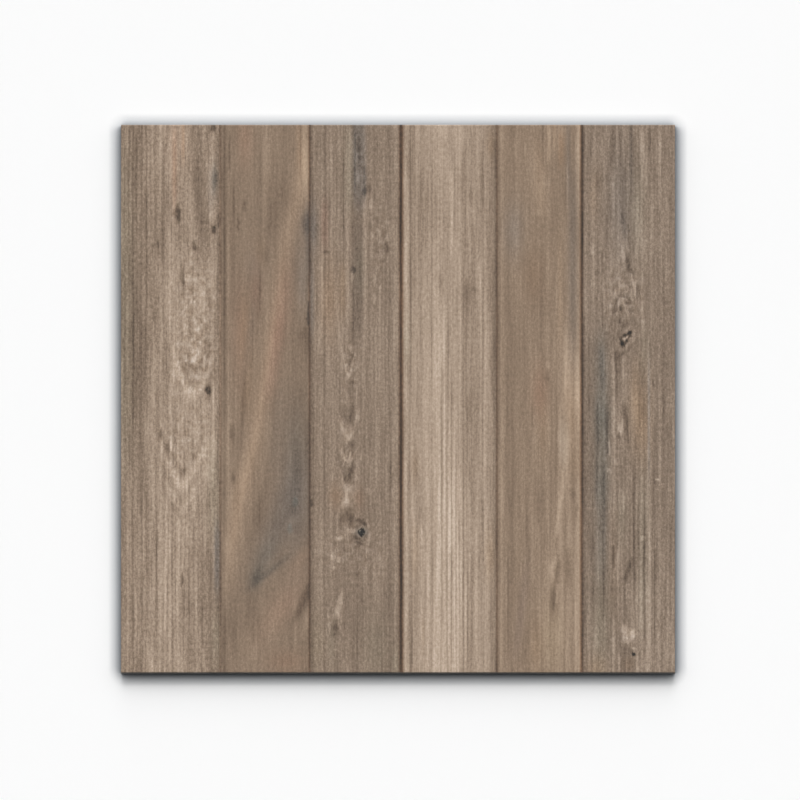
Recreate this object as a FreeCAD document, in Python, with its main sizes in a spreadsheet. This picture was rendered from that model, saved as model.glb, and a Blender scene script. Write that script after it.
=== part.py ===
"""A square wood look porcelain floor tile, dry-pressed and fired in one piece.

The tile lies flat, with its bedding face on Z = 0 and its face up. The origin is the centre of the bedding
face. X runs across the boards of the wood look and Y along them. All sizes are in millimetres.
"""
import FreeCAD, Part
import Sketcher
import os

PARTS_FOLDER = "parts"

# The face shows six boards side by side. The tile is as wide as they are together: 597 mm,
# the work size of a 600 mm format laid with 3 mm grout joints.
BOARD_WIDTHS = {
    "board_1_width": 107.8,
    "board_2_width": 95.4,
    "board_3_width": 98.6,
    "board_4_width": 103.3,
    "board_5_width": 91.7,
    "board_6_width": 100.2,
}

BODY_SIZES = {
    "tile_length": 597.0,
    "tile_thickness": 9.5,
    # The ground edge of the face is broken by a fine bevel, and the one of the back by a wider one.
    "face_bevel": 0.6,
    "back_bevel": 1.0,
}

# Each joint between two boards is a shallow channel with sloping flanks, pressed along the whole face.
# Joint 1 lies between boards 1 and 2. Joint 3 is the boldest, and joints 1 and 4 are faint.
JOINT_SIZES = {
    "joint_1_width": 2.2,
    "joint_1_depth": 0.35,
    "joint_2_width": 2.8,
    "joint_2_depth": 0.6,
    "joint_3_width": 3.4,
    "joint_3_depth": 0.8,
    "joint_4_width": 2.4,
    "joint_4_depth": 0.4,
    "joint_5_width": 3.0,
    "joint_5_depth": 0.7,
    "joint_floor": 0.6,
}

# The back is pressed into square cells, so that adhesive keys into it. The ribs between the cells and the
# border round them carry the tile, and the flanks of a cell slope as the press needs.
BACK_SIZES = {
    "cell_pitch": 40.0,
    "cell_depth": 0.8,
    "rib_crest": 4.0,
    "flank_run": 0.8,
    "least_border": 12.0,
}

TILE_WIDTH = " + ".join("sizes." + name for name in BOARD_WIDTHS)
CELLS_ACROSS = f"floor((({TILE_WIDTH}) - 2 * sizes.least_border) / sizes.cell_pitch)"
CELLS_ALONG = "floor((sizes.tile_length - 2 * sizes.least_border) / sizes.cell_pitch)"


def make_size_sheet(doc):
    """Puts every driving dimension into one cell of a spreadsheet, each with an alias."""
    sheet = doc.addObject("Spreadsheet::Sheet", "sizes")
    row = 1
    for group in (BOARD_WIDTHS, BODY_SIZES, JOINT_SIZES, BACK_SIZES):
        for name, value in group.items():
            sheet.set(f"A{row}", name)
            sheet.set(f"B{row}", str(value))
            sheet.setAlias(f"B{row}", name)
            row += 1
    doc.recompute()
    return sheet


def origin_feature(body, role):
    """One of the body's own origin planes or axes."""
    return next(item for item in body.Origin.OriginFeatures if item.Role == role)


def add_sketch(body, name, plane):
    """An empty sketch on one of the body's origin planes."""
    sketch = body.newObject("Sketcher::SketchObject", name)
    sketch.AttachmentSupport = [(origin_feature(body, plane), "")]
    sketch.MapMode = "FlatFace"
    return sketch


def bind(sketch, constraint, name, formula):
    """Adds a dimension to a sketch and ties it to the sheet."""
    index = sketch.addConstraint(constraint)
    sketch.renameConstraint(index, name)
    sketch.setExpression(f"Constraints.{name}", formula)


def draw_loop(sketch, corners):
    """Draws a closed outline through the corners, line i running from corner i to the next."""
    points = [FreeCAD.Vector(x, y, 0) for x, y in corners]
    for start, end in zip(points, points[1:] + points[:1]):
        sketch.addGeometry(Part.LineSegment(start, end), False)
    for line in range(len(points)):
        following = (line + 1) % len(points)
        sketch.addConstraint(Sketcher.Constraint("Coincident", line, 2, following, 1))


def draw_centred_rectangle(sketch, width, length):
    """Draws a rectangle about the sketch's origin, with its two sizes given as formulas."""
    draw_loop(sketch, [(-100, -100), (100, -100), (100, 100), (-100, 100)])
    bottom, right, top, left = range(4)
    for line in (bottom, top):
        sketch.addConstraint(Sketcher.Constraint("Horizontal", line))
    for line in (right, left):
        sketch.addConstraint(Sketcher.Constraint("Vertical", line))
    sketch.addConstraint(Sketcher.Constraint("Symmetric", bottom, 1, top, 1, -1, 1))
    bind(sketch, Sketcher.Constraint("DistanceX", bottom, 1, bottom, 2, 200), "width", width)
    bind(sketch, Sketcher.Constraint("DistanceY", right, 1, right, 2, 200), "length", length)


def draw_trapezium(sketch, centre, level, height, wide_side, narrow_side):
    """Draws a trapezium with level sides, its wide side at the given level.

    Its centre is measured from the sketch's origin. A positive height puts the narrow side above the wide one.
    All the sizes are formulas, and the rough start is solved onto them.
    """
    draw_loop(sketch, [(-40, 20), (-30, 20), (-32, 22), (-38, 22)])
    wide, flank, narrow, other_flank = range(4)
    for line in (wide, narrow):
        sketch.addConstraint(Sketcher.Constraint("Horizontal", line))
    sketch.addConstraint(Sketcher.Constraint("Equal", flank, other_flank))
    origin = (-1, 1)
    bind(sketch, Sketcher.Constraint("DistanceX", wide, 1, wide, 2, 10), "wide_side", wide_side)
    bind(sketch, Sketcher.Constraint("DistanceX", narrow, 2, narrow, 1, 6), "narrow_side", narrow_side)
    bind(sketch, Sketcher.Constraint("DistanceY", flank, 1, flank, 2, 2), "height", height)
    bind(sketch, Sketcher.Constraint("DistanceY", *origin, wide, 1, 20), "level", level)
    start = f"({centre}) - ({wide_side}) / 2"
    bind(sketch, Sketcher.Constraint("DistanceX", *origin, wide, 1, -40), "start", start)


def make_slab(body):
    """The blank: the tile's full outline at its full thickness."""
    outline = add_sketch(body, "tile_outline", "XY_Plane")
    draw_centred_rectangle(outline, TILE_WIDTH, "sizes.tile_length")
    slab = body.newObject("PartDesign::Pad", "slab")
    slab.Profile = outline
    slab.setExpression("Length", "sizes.tile_thickness")
    return slab


def bevel_rim(body, doc, name, size, level):
    """Breaks the four edges of the outline that lie at one level."""
    base = body.Tip
    doc.recompute()
    rim = []
    for number, edge in enumerate(base.Shape.Edges, start=1):
        box = edge.BoundBox
        if abs(box.ZMin - level) < 1e-6 and abs(box.ZMax - level) < 1e-6:
            rim.append(f"Edge{number}")
    bevel = body.newObject("PartDesign::Chamfer", name)
    bevel.Base = (base, rim)
    bevel.setExpression("Size", f"sizes.{size}")
    return bevel


def press_board_joint(body, number):
    """Cuts the channel between board number and the next one through the whole length of the face."""
    sketch = add_sketch(body, f"joint_{number}_section", "XZ_Plane")
    boards_to_the_left = " + ".join("sizes." + name for name in list(BOARD_WIDTHS)[:number])
    draw_trapezium(
        sketch,
        centre=f"{boards_to_the_left} - ({TILE_WIDTH}) / 2",
        level="sizes.tile_thickness",
        height=f"-sizes.joint_{number}_depth",
        wide_side=f"sizes.joint_{number}_width",
        narrow_side="sizes.joint_floor",
    )
    channel = body.newObject("PartDesign::Pocket", f"joint_{number}")
    channel.Profile = sketch
    channel.SideType = "Symmetric"
    channel.setExpression("Length", "sizes.tile_length + 2 * sizes.tile_thickness")
    return channel


def draw_first_cell(sketch):
    """Draws the mouth of the cell at the low X and low Y corner of the field, which is centred on the tile."""
    draw_loop(sketch, [(-290, -290), (-270, -290), (-270, -270), (-290, -270)])
    bottom, right, top, left = range(4)
    for line in (bottom, top):
        sketch.addConstraint(Sketcher.Constraint("Horizontal", line))
    for line in (right, left):
        sketch.addConstraint(Sketcher.Constraint("Vertical", line))
    origin = (-1, 1)
    mouth = "sizes.cell_pitch - sizes.rib_crest"
    first_x = f"(sizes.rib_crest - {CELLS_ACROSS} * sizes.cell_pitch) / 2"
    first_y = f"(sizes.rib_crest - {CELLS_ALONG} * sizes.cell_pitch) / 2"
    bind(sketch, Sketcher.Constraint("DistanceX", bottom, 1, bottom, 2, 20), "mouth_width", mouth)
    bind(sketch, Sketcher.Constraint("DistanceY", right, 1, right, 2, 20), "mouth_length", mouth)
    bind(sketch, Sketcher.Constraint("DistanceX", *origin, bottom, 1, -290), "first_x", first_x)
    bind(sketch, Sketcher.Constraint("DistanceY", *origin, bottom, 1, -290), "first_y", first_y)


def press_back_cells(body):
    """Presses the field of keying cells into the back, row by row, and leaves the ribs and the border."""
    mouth = add_sketch(body, "cell_mouth", "XY_Plane")
    draw_first_cell(mouth)
    cell = body.newObject("PartDesign::Pocket", "cell")
    cell.Profile = mouth
    cell.Reversed = True
    cell.setExpression("Length", "sizes.cell_depth")
    cell.setExpression("TaperAngle", "-atan(sizes.flank_run / sizes.cell_depth)")
    row = body.newObject("PartDesign::LinearPattern", "cell_row")
    row.Direction = (origin_feature(body, "X_Axis"), [""])
    row.Mode = "Spacing"
    row.setExpression("Offset", "sizes.cell_pitch")
    row.setExpression("Occurrences", CELLS_ACROSS)
    column = body.newObject("PartDesign::LinearPattern", "cell_column")
    column.Direction = (origin_feature(body, "Y_Axis"), [""])
    column.Mode = "Spacing"
    column.setExpression("Offset", "sizes.cell_pitch")
    column.setExpression("Occurrences", CELLS_ALONG)
    field = body.newObject("PartDesign::MultiTransform", "cell_field")
    field.Originals = [cell]
    field.Transformations = [row, column]
    body.Tip = field
    return field


def make_tile(doc, sheet):
    """The whole tile, in the order in which its surfaces are formed."""
    body = doc.addObject("PartDesign::Body", "porcelain_tile")
    body.Label = "porcelain_tile"
    make_slab(body)
    bevel_rim(body, doc, "face_rim_bevel", "face_bevel", sheet.get("tile_thickness"))
    bevel_rim(body, doc, "back_rim_bevel", "back_bevel", 0.0)
    for number in range(1, len(BOARD_WIDTHS)):
        press_board_joint(body, number)
    press_back_cells(body)
    return body


def check_model(doc, bodies):
    """Stops before anything is written if a feature failed or a piece isn't one sound solid."""
    for item in doc.Objects:
        if "Invalid" in item.State or "Error" in item.State:
            raise RuntimeError(f"{item.Label} failed: {item.State}")
    for body in bodies:
        shape = body.Shape
        if shape.isNull() or not shape.isValid() or len(shape.Solids) != 1:
            raise RuntimeError(f"{body.Label} isn't one valid solid")


def main():
    doc = FreeCAD.newDocument("wood_look_tile")
    sheet = make_size_sheet(doc)
    tile = make_tile(doc, sheet)
    doc.recompute()
    check_model(doc, [tile])
    os.makedirs(PARTS_FOLDER, exist_ok=True)
    tile.Shape.exportStep(os.path.join(PARTS_FOLDER, tile.Label + ".step"))
    box = tile.Shape.BoundBox
    print(f"{tile.Label}: {box.XLength:.1f} x {box.YLength:.1f} x {box.ZLength:.2f} mm,"
          f" {tile.Shape.Volume / 1e3:.1f} cm3, {len(tile.Shape.Faces)} faces")


main()
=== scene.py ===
"""Looks of a square wood look porcelain tile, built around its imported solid.

The face carries a print of six boards and a shallow pressed relief that follows the same grain. One growth
function gives both: the geometry tree presses it into the face, and the print reads it back from the mesh.
Lengths on the face are in millimetres: across is counted from a board's left joint towards +X, and down from
the far edge of the tile towards -Y. Everything else is in metres.
"""
import math
from collections import namedtuple
from itertools import accumulate

import bpy
import numpy as np
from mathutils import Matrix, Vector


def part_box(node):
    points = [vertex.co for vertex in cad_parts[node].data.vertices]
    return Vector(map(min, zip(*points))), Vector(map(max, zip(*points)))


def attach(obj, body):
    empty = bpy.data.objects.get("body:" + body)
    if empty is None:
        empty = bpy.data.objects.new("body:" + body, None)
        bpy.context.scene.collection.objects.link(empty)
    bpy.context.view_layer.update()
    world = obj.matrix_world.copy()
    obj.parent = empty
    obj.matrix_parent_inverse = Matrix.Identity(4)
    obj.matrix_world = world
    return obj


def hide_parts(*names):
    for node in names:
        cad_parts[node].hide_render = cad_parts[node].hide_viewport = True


bl_info = {
    "name": "Wood Look Porcelain Tile",
    "version": (1, 0, 0),
    "blender": (4, 5, 0),
    "location": "View3D > Sidebar > Wood Look Tile",
    "description": "Dresses the solid of a wood look porcelain tile with its print, relief and bedding cells",
    "category": "Object",
}

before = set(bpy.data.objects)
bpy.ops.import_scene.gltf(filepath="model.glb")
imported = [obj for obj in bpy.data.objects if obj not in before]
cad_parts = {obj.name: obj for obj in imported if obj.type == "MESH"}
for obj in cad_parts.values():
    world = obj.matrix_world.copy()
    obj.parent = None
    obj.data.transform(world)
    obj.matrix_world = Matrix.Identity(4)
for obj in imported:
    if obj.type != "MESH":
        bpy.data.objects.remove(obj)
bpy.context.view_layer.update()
NODE = "porcelain_tile"
BODY = "root"

MM = 0.001
TILE_WIDTH, TILE_LENGTH, TILE_THICKNESS = ((high - low) / MM for low, high in zip(*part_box(NODE)))
FAR_EDGE = TILE_LENGTH / 2

# Names of the mesh attributes that the prints read.
GROWTH = "growth"
STAIN = "stain"
TEXTURE = "texture"

# Everything that the print shows is placed in millimetres: across from the board's left joint, down from the
# far edge of the tile. Lean is how far a thing moves across for each millimetre down.

# A stain is a leaning oval that changes the print's tone, warmth and redness. A sharp one has a clear edge.
Stain = namedtuple("Stain", "across down half_width half_length tone warmth redness lean sharp",
                   defaults=(0, 0, 0, 0, False))

# A vein is a stain that follows a curve, given as places (down, across) and strengths (down, share).
Vein = namedtuple("Vein", "places strengths half_width tone warmth redness")

# A flame is a V or U shaped line of the grain. Its arms run back from the tip by reach at half_width.
Flame = namedtuple("Flame", "across down half_width reach thickness power tone")

# A knot has a dark rim, a core and faint rings round it, which the grain runs round.
Knot = namedtuple("Knot", "across down half_width half_length lean rim core rings swerve")

# A patch is an oval in which a texture of the print shows more strongly.
Patch = namedtuple("Patch", "across down half_width half_length strength")

# One board of the print. Tone runs from 0 for black to 1 for white. Bands are places across with the change
# of tone there. Lines, fibres, grit and rings are the strengths of the grain's textures, from long to short.
Board = namedtuple("Board", "width tone warmth lines fibres grit rings ring_spacing bands stains veins"
                   " flames knots mottles combs", defaults=((), (), (), (), ()))


def each(kind, *rows):
    """One feature for each row of its values."""
    return [kind(*row) for row in rows]


def fleck(*values):
    """A stain with a clear edge."""
    return Stain(*values)._replace(sharp=True)


BOARD_1 = Board(
    width=107.8, tone=.535, warmth=0, lines=.85, fibres=1, grit=1, rings=.25, ring_spacing=4.6,
    bands=[
        (0, -.03), (4, 0), (7, .03), (10, 0), (12.5, -.04), (17, -.02), (21, -.04), (24, -.01), (27.5, -.03),
        (31, .01), (35, .02), (38.5, -.01), (41.5, .015), (44.5, 0), (48, .02), (50.5, .02), (52.5, .045),
        (55.5, .025), (60, .035), (66, .035), (76, .03), (85, .01), (91, .01), (95, -.02), (99.5, .02),
        (102, -.02), (104.5, -.03), (106.5, -.06), (107.8, -.05),
    ],
    stains=each(
        Stain,
        (61, 10, 12, 50, .01, .08, .06), (67, 15, 1.8, 26, -.02, .35, .14), (57.5, 50, 2.6, 45, -.01, .3, .24),
        (79, 25, 5, 60, -.09, 0, 0, .03), (83, 110, 4, 40, -.05), (15, 5, 8, 60, -.04), (98, 22, 2, 28, .05),
        (82, 40, 24, 80, -.035), (97, 72, 3.5, 25, .05, -.2), (101, 60, 3, 16, -.1, -.6, -.15),
        (99, 99, 4, 7, .12), (27.5, 150, .8, 55, -.05), (41.5, 125, 1.2, 70, .03), (45, 105, 3, 45, -.04),
        (84, 205, 14, 50, .04), (18, 255, 8, 60, -.05), (26.5, 245, 1.2, 28, -.04), (20, 235, 1, 25, -.05),
        (49, 250, 1, 40, -.06), (56, 240, 1.5, 45, .04), (35, 280, 1.4, 40, .05), (100, 340, 1.4, 60, .04),
        (70, 350, 24, 45, .035), (83.5, 375, 1.2, 60, -.04), (66, 377, 5, 8, -.07), (42, 500, 1.5, 100, .04),
        (48.5, 500, 1.5, 105, .04), (60, 450, 8, 60, .03), (33, 520, 1, 60, -.04), (77, 465, 5, 16, -.06),
        (67, 520, 1.5, 16, -.08), (74, 545, 3.5, 50, -.06), (87, 530, 2, 45, -.05), (94, 530, 8, 90, -.07),
        (27, 550, 5, 60, .05), (38.5, 510, 1, 80, -.05), (55.5, 520, 1, 80, -.05), (81, 500, 1.6, 55, .06),
        (101, 515, 1.3, 80, .06), (103.5, 472, 3.2, 38, -.08, -.75), (104, 535, 3, 30, -.06),
        (88, 575, 1.5, 20, .07, 0, 0, .15), (4, 180, 6, 250, -.035), (12, 190, 6, 110, -.03),
        (20, 350, 4, 70, -.03), (28, 180, 4, 25, -.035), (36, 45, 3.5, 35, -.04), (36, 208, 4, 12, -.045),
        (33, 550, 6, 50, .03), (44, 125, 4, 45, -.055), (44, 15, 3.5, 30, .045), (44, 470, 4, 70, .035),
        (56, 185, 7, 60, .03), (52, 475, 3.5, 25, .045), (60, 585, 4, 15, .045), (68, 385, 5, 40, .045),
        (76, 35, 4, 35, .04), (78, 252, 7, 18, .055), (78, 288, 7, 10, -.045), (77, 407, 5, 13, .075),
        (84, 345, 5, 70, .045), (92, 340, 4, 50, .04), (91, 465, 5, 40, .035), (91, 100, 3.5, 14, -.035),
        (100, 175, 4, 40, .03), (100, 347, 3.5, 15, .045), (100, 405, 3.5, 12, -.04), (100, 525, 4, 60, -.035),
        (106, 320, 3.4, 60, .04), (104, 450, 3.4, 15, .04), (66, 12, 6, 20, .03), (102, 12, 5, 20, -.03),
        (6, 105, 5, 20, -.03), (54, 362, 6, 30, .02), (78, 255, 6, 18, .03), (90, 285, 6, 16, -.045),
        (90, 345, 6, 16, .035), (90, 495, 6, 18, .03), (90, 565, 6, 28, .035), (42, 480, 6, 40, .03),
        (54, 570, 6, 30, .035), (78, 585, 6, 20, -.035), (4, 200, 9, 170, 0, 0, -.22),
        (103, 560, 6, 30, 0, 0, -.2), (18, 140, 6, 120, -.02), (45, 490, 3.6, 70, .03), (66, 25, 5, 25, .02),
        (90, 12, 5, 14, .02), (18, 165, 5, 18, .025), (78, 195, 5, 16, .03), (90, 254, 5, 14, .035),
        (90, 285, 5, 12, -.025), (62, 380, 8, 18, .03), (66, 465, 5, 15, -.025), (30, 520, 5, 18, -.02),
        (100, 400, 6, 50, 0, 0, -.16), (54, 75, 5, 14, -.022), (90, 90, 5, 26, -.02), (3, 165, 3, 14, .022),
        (54, 210, 6, 45, .018), (42, 262, 5, 22, .018), (18, 360, 5, 26, -.019), (66, 345, 5, 13, -.027),
        (50, 405, 8, 14, .025), (78, 405, 5, 13, .022), (94, 585, 9, 14, .022), (60, 285, 9, 14, .018),
        (102, 75, 4, 12, .022), (30, 340, 4.5, 50, .016),
    ) + each(
        fleck,
        (61, 95, 3.2, 7, -.24), (58, 98, 1.6, 4, -.1, 0, 0, .4), (61.5, 104, 2.4, 5, -.17),
        (99, 3, 3.3, 6, -.22), (104.5, 104, 3, 9, -.12), (100, 114, 2.4, 4, -.26), (39.5, 130, 1.8, 5, -.12),
        (79, 133, 3, 6, -.2, 0, 0, .2), (34, 135, 1.8, 5, -.08), (66.5, 164, 2.5, 11, -.14),
        (68, 178, 2.2, 9, -.09), (94, 289, 3, 5, -.27), (94, 297, 2, 6, -.1), (43, 337, 2.4, 5, -.14),
        (50, 352, 2.8, 7, -.11), (44.5, 350, 2, 7, .09), (54, 349, 1.4, 9, .13), (62, 412, 3, 14, -.08),
        (66, 496, 1.5, 8, -.18), (82.5, 64, 4.2, 55, -.03, 0, 0, .1), (46, 112, 3.2, 48, -.03),
    ),
    flames=each(
        Flame,
        (78, 292, 22, 45, 8, 2, .12), (80, 268, 12, 30, 5, 2, -.07), (66, 380, 24, 42, 8, 1.2, -.07),
        (66, 394, 27, 46, 8, 1.2, .055), (67, 362, 20, 36, 5, 1.2, -.04), (66, 409, 24, 42, 6, 1.2, -.045),
        (66, 420, 25, 42, 6, 1.2, .035), (65, 431, 20, 38, 5, 1.2, -.04),
    ),
    mottles=each(Patch, (82, 205, 22, 60, 1), (78, 265, 20, 25, .8), (70, 345, 26, 45, .7)),
    combs=each(Patch, (14, 120, 16, 200, .3), (60, 520, 30, 80, .3)),
)

# The second board's dark vein keeps to this course, as places down and across.
VEIN_COURSE = [(0, 90), (50, 87), (80, 82), (110, 74), (140, 67), (170, 63), (210, 57), (250, 51), (290, 45),
               (330, 39), (360, 33), (400, 24), (430, 17), (460, 12), (500, 8)]

BOARD_2 = Board(
    width=95.4, tone=.47, warmth=.12, lines=.45, fibres=.5, grit=.6, rings=.05, ring_spacing=5.5,
    bands=[
        (0, -.03), (1.6, -.01), (3.9, -.09), (6, -.02), (8.3, .02), (12, 0), (30, .01), (50, 0), (65, -.01),
        (82, -.01), (88, -.02), (92, -.03), (95.4, -.03),
    ],
    stains=each(
        Stain,
        (90, 20, 7, 60, .08, .1, -.02), (85.5, 20, 1, 40, -.07), (10, 95, 5, 40, -.03),
        (84, 15, 3, 35, 0, .15, .05), (26, 15, 8, 30, 0, .15, .25), (50, 30, 8, 30, .04),
        (9, 30, 1.2, 22, -.12), (14, 75, 1.2, 30, -.08), (7, 130, 2, 60, .05),
        (66, 78, 14, 25, -.045, 0, 0, -.25), (55, 108, 8, 20, -.035, 0, 0, -.2), (48, 143, 4, 9, -.06),
        (36, 155, 8, 18, -.01, -.2), (91, 108, 5, 13, -.11, -.6), (94, 125, 3, 40, -.04, -.5),
        (42, 185, 1, 28, -.07), (34, 235, 1, 25, -.07), (88, 180, 6, 30, 0, -.3),
        (66, 195, 9, 45, 0, .06, .3, -.1), (57, 255, 7, 45, 0, .05, .28, -.12), (20, 225, 10, 60, 0, .05, .22),
        (30, 235, 5, 60, -.03, -.2, 0, -.15), (88, 230, 5, 10, -.035), (86, 150, 8, 35, 0, -.25),
        (8, 250, 1.5, 100, .04), (4, 400, 4, 110, .045), (43, 415, 5, 30, -.04, 0, 0, -.2),
        (24, 310, 2, 40, -.07, 0, 0, -.05), (16, 290, 1.5, 30, .04), (60, 330, 6, 45, -.02, -.1, 0, -.1),
        (80, 395, 20, 80, -.03, -.5), (58, 440, 15, 48, -.03, -.4, 0, -.35), (84, 410, 12, 40, -.01, -.2),
        (78, 432, 6, 6, .045, 0, 0, -.9), (78, 418, 5, 5, -.03), (48, 470, 12, 22, -.03, -.32, -.12, -.4),
        (38, 494, 6.5, 11, -.08, -.55, -.16, -.3), (55, 485, 5, 15, -.06, -.35, -.12, -1.15),
        (67, 525, 16, 36, .03, .1, .2, -.6), (86, 472, 9, 18, .03, .2, .1, -.5),
        (84, 531, 5, 14, -.09, 0, 0, -.55), (92, 511, 4.5, 13, -.11, 0, 0, -.4),
        (92, 541, 3, 16, .07, 0, 0, -.2), (30, 525, 12, 25, -.02, 0, 0, -.2), (4, 505, 2, 28, .07),
        (14, 560, 3, 20, -.04), (36, 573, 4, 11, .045, 0, 0, -.2), (70, 585, 20, 12, 0, .15, .2),
        (4, 120, 5, 50, -.035), (4, 345, 4, 20, .03), (5, 462, 4, 12, .045), (8, 538, 9, 28, -.03),
        (12, 160, 4, 50, -.03), (12, 325, 4, 10, .04), (20, 395, 4, 18, .03), (28, 212, 4, 18, .03),
        (30, 510, 9, 60, -.03), (36, 103, 5, 28, -.035), (42, 430, 5, 24, -.035, 0, 0, -.1),
        (58, 515, 6, 15, -.02), (67, 407, 6, 13, -.035), (79, 55, 8, 24, .03), (92, 70, 4, 70, .045),
        (84, 340, 6, 90, -.018), (92, 232, 3.5, 25, -.035), (92, 345, 3.5, 40, -.025), (83, 588, 6, 10, .03),
        (38, 180, 6, 30, 0, .15, .25), (26, 250, 8, 65, 0, .27), (42, 140, 6, 14, 0, .15),
        (82, 345, 12, 40, -.02, -.12, -.1), (62, 434, 26, 15, -.02, 0, 0, -.3),
        (16, 400, 5, 30, .025, .1, 0, -.2), (5, 215, 5, 55, -.017), (44, 10, 14, 20, .018),
        (78, 65, 5, 14, .025), (84, 330, 10, 20, .018),
    ) + each(
        fleck,
        (25, 88, 2.5, 6, -.09), (19, 108, 1.5, 9, -.1), (94, 205, 2, 14, -.12, -.4), (12, 335, 3, 10, -.07),
        (13, 385, 2, 8, -.09), (80, 411, 3.2, 6, 0, -.35, -.2), (74, 440, 3.2, 5, .01, -.35, -.2),
    ),
    veins=each(
        Vein,
        (VEIN_COURSE, [(0, .1), (60, .8), (150, .6), (200, .8), (300, 1), (390, 1), (450, .9), (490, .4),
                       (520, 0)], 9, .06, .18, .05),
        (VEIN_COURSE, [(0, 0), (60, .4), (120, .2), (280, .6), (400, 1), (450, .8), (490, .2), (520, 0)],
         3, .02, .05, 0),
    ),
)

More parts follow.
